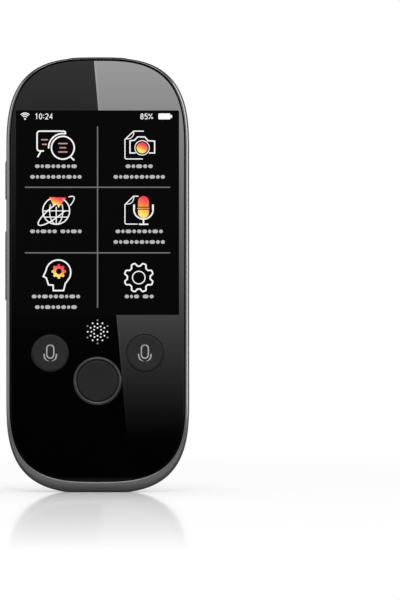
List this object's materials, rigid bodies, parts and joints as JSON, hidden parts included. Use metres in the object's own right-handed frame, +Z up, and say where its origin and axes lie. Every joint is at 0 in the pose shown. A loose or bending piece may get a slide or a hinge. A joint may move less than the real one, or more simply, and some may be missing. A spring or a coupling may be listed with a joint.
{
  "type": "handheld translator",
  "caption": "Slim handheld electronic translator with a glass front, display, round front buttons, side keys, and a rear cover with speaker holes and a camera.",
  "frame": {"origin": "middle of the flat foot round the charging socket, at the lower end", "axes": "+Z up along the body, +Y from the glass front to the back, +X to the right seen from the front, so the side keys are at -X"},
  "size_m": [0.054, 0.0126, 0.1272],
  "materials": {
    "band_metal": "dark anodised satin",
    "cover_plastic": "fine satin, near black",
    "front_glass": "polished, printed black behind",
    "button_plastic": "smooth dark grey",
    "bright_ring": "bright turned edge",
    "tray_steel": "plain sheet",
    "white_plastic": "translucent white",
    "dark_plastic": "black moulding",
    "soft_rubber": "matt",
    "circuit_board": "solder mask",
    "flex_film": "amber film",
    "cell_foil": "dull foil pouch"
  },
  "bodies": {
    "housing": {"mid_frame": "band_metal", "rear_cover": "cover_plastic", "top_trim": "cover_plastic", "cover_glass": "front_glass", "display_panel": "front_glass", "backlight_tray": "tray_steel", "light_guide": "white_plastic", "indicator_lamp": "white_plastic", "home_button_ring": "bright_ring", "talk_left_switch": "tray_steel", "talk_right_switch": "tray_steel", "home_switch": "tray_steel", "button_board": "circuit_board", "button_flex": "flex_film", "display_flex": "flex_film", "power_switch": "tray_steel", "volume_up_switch": "tray_steel", "volume_down_switch": "tray_steel", "camera_bezel": "dark_plastic", "camera_window": "front_glass", "camera_lens": "front_glass", "camera_module": "dark_plastic", "camera_flex": "flex_film", "camera_socket": "dark_plastic", "speaker_mesh": "dark_plastic", "speaker_gasket": "soft_rubber", "loudspeaker": "dark_plastic", "main_board": "circuit_board", "processor_shield": "tray_steel", "radio_module": "tray_steel", "charging_chip": "dark_plastic", "battery_socket": "white_plastic", "board_screw_1": "tray_steel", "board_screw_2": "tray_steel", "board_screw_3": "tray_steel", "board_screw_4": "tray_steel", "battery": "cell_foil", "battery_lead": "soft_rubber", "socket_shell": "tray_steel", "socket_tongue": "dark_plastic", "socket_board": "circuit_board", "socket_screw_1": "tray_steel", "socket_screw_2": "tray_steel", "microphone": "tray_steel", "microphone_boot": "soft_rubber", "aerial": "flex_film"},
    "left_talk_button": {"talk_button_left": "button_plastic", "talk_left_plunger": "white_plastic"},
    "right_talk_button": {"talk_button_right": "button_plastic", "talk_right_plunger": "white_plastic"},
    "home_button": {"home_button": "button_plastic", "home_plunger": "white_plastic"},
    "power_key": {"power_key": "band_metal", "power_plunger": "white_plastic"},
    "volume_key": {"volume_key": "band_metal"}
  },
  "joints": [
    {"name": "left_talk_press", "type": "slide", "parent": "housing", "child": "left_talk_button", "axis": [0, 1, 0], "range_m": [0, 0.0003], "stiffness_N_per_m": 3000, "springref_m": -0.0001},
    {"name": "right_talk_press", "type": "slide", "parent": "housing", "child": "right_talk_button", "axis": [0, 1, 0], "range_m": [0, 0.0003], "stiffness_N_per_m": 3000, "springref_m": -0.0001},
    {"name": "home_press", "type": "slide", "parent": "housing", "child": "home_button", "axis": [0, 1, 0], "range_m": [0, 0.0003], "stiffness_N_per_m": 3000, "springref_m": -0.0001},
    {"name": "power_press", "type": "slide", "parent": "housing", "child": "power_key", "axis": [1, 0, 0], "range_m": [0, 0.0003], "stiffness_N_per_m": 3000, "springref_m": -0.0001},
    {"name": "volume_rock", "type": "hinge", "parent": "housing", "child": "volume_key", "pos_m": [-0.02525, -0.0006, 0.0662], "axis": [0, 1, 0], "range_deg": [-1.3, 1.3], "stiffness_Nm_per_rad": 0.5}
  ]
}
